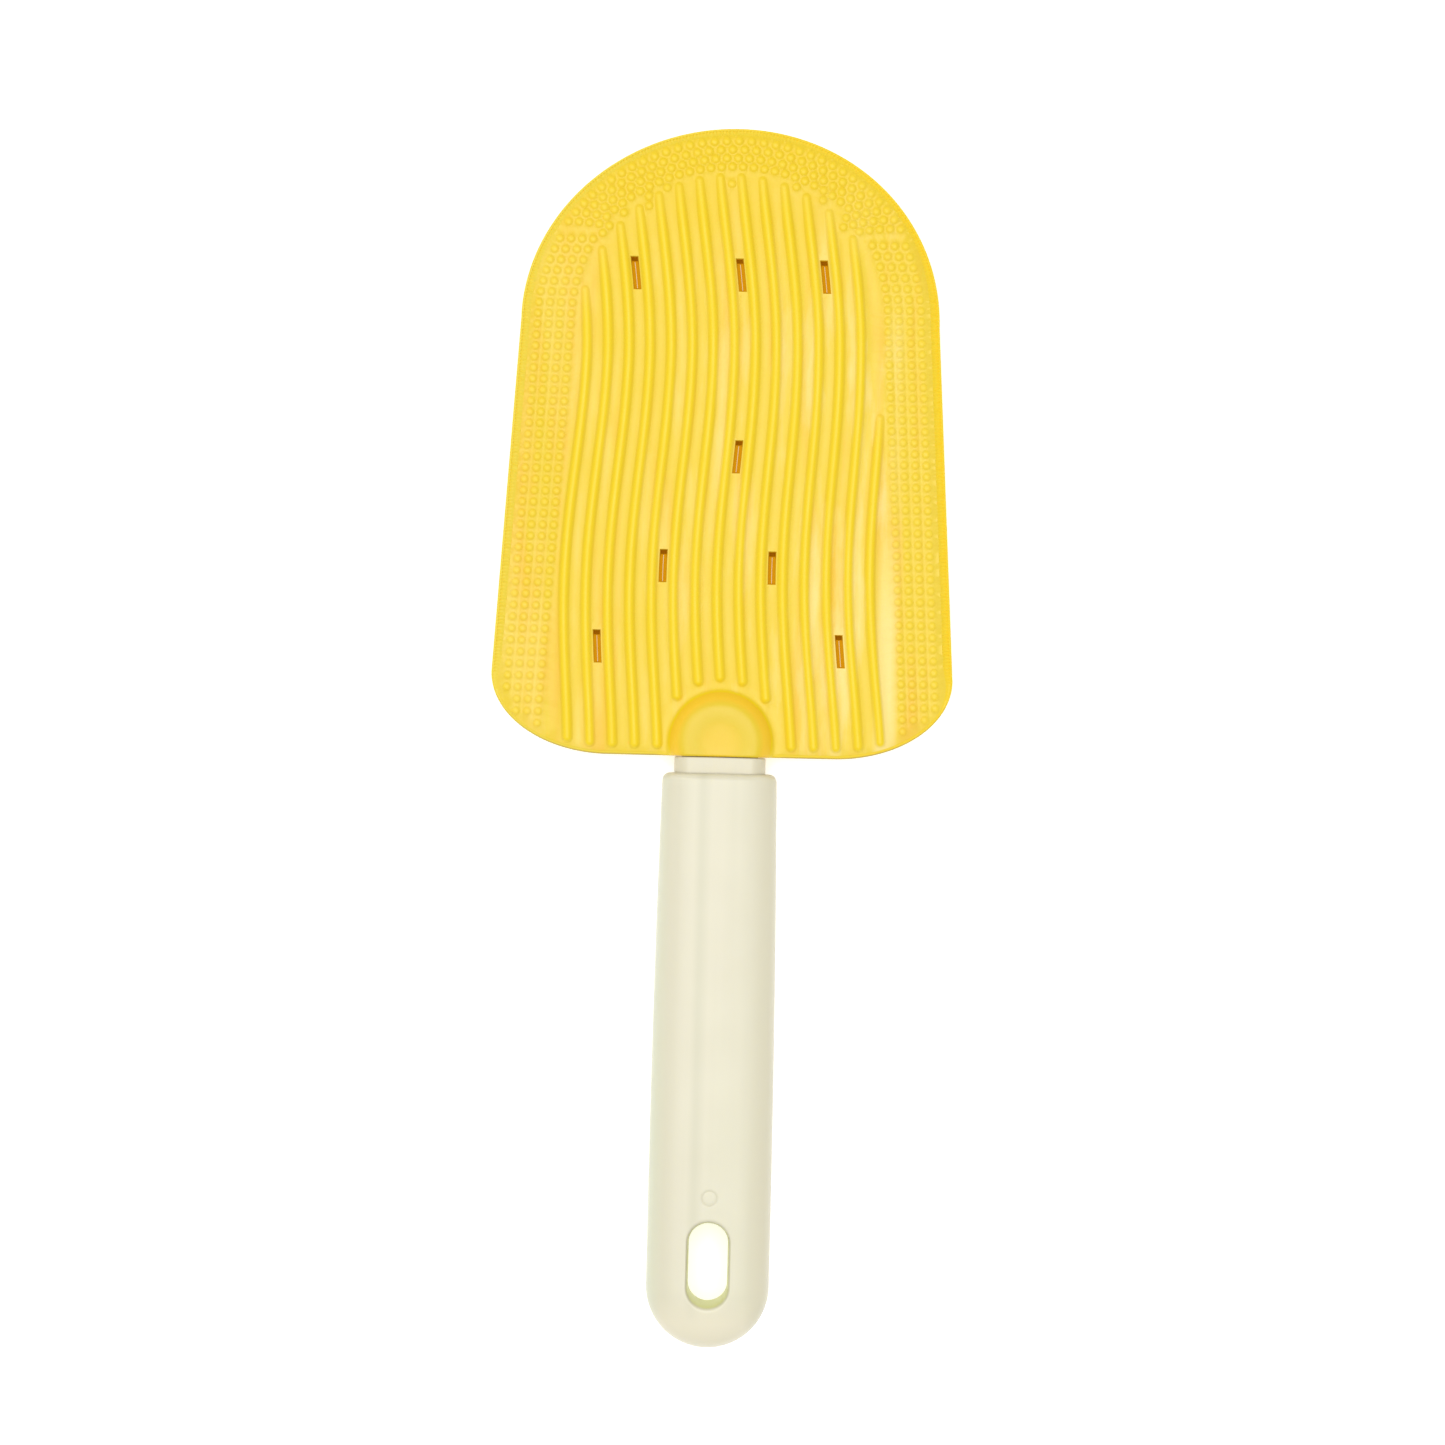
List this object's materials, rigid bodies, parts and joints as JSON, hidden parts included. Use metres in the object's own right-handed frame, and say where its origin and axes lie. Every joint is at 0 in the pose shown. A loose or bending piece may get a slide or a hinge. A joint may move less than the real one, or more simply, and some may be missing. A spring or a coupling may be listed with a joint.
{
  "type": "fly swatter",
  "caption": "Hand fly swatter: a soft flexible blade with wavy ribs and slots, on a rigid neck that plugs into a hollow flat-oval handle with a hang slot.",
  "frame": {"origin": "middle of the swatter's outline, on the surface that the handle's flat back lies on", "axes": "+Y from the handle's end to the blade's tip, +Z out of the front face, +X to the right seen from the front"},
  "size_m": [0.1212, 0.32, 0.016],
  "materials": {
    "blade_rubber": "satin",
    "neck_plastic": "satin",
    "handle_plastic": "satin"
  },
  "bodies": {
    "handle": {"handle_sleeve": "handle_plastic", "neck_core": "neck_plastic", "blade_root": "blade_rubber"},
    "blade": {"blade_flap": "blade_rubber"}
  },
  "joints": [
    {"name": "blade_flex", "type": "hinge", "parent": "handle", "child": "blade", "pos_m": [0, 0.016, 0.008], "axis": [1, 0, 0], "range_deg": [-30, 30], "stiffness_Nm_per_rad": 1}
  ]
}
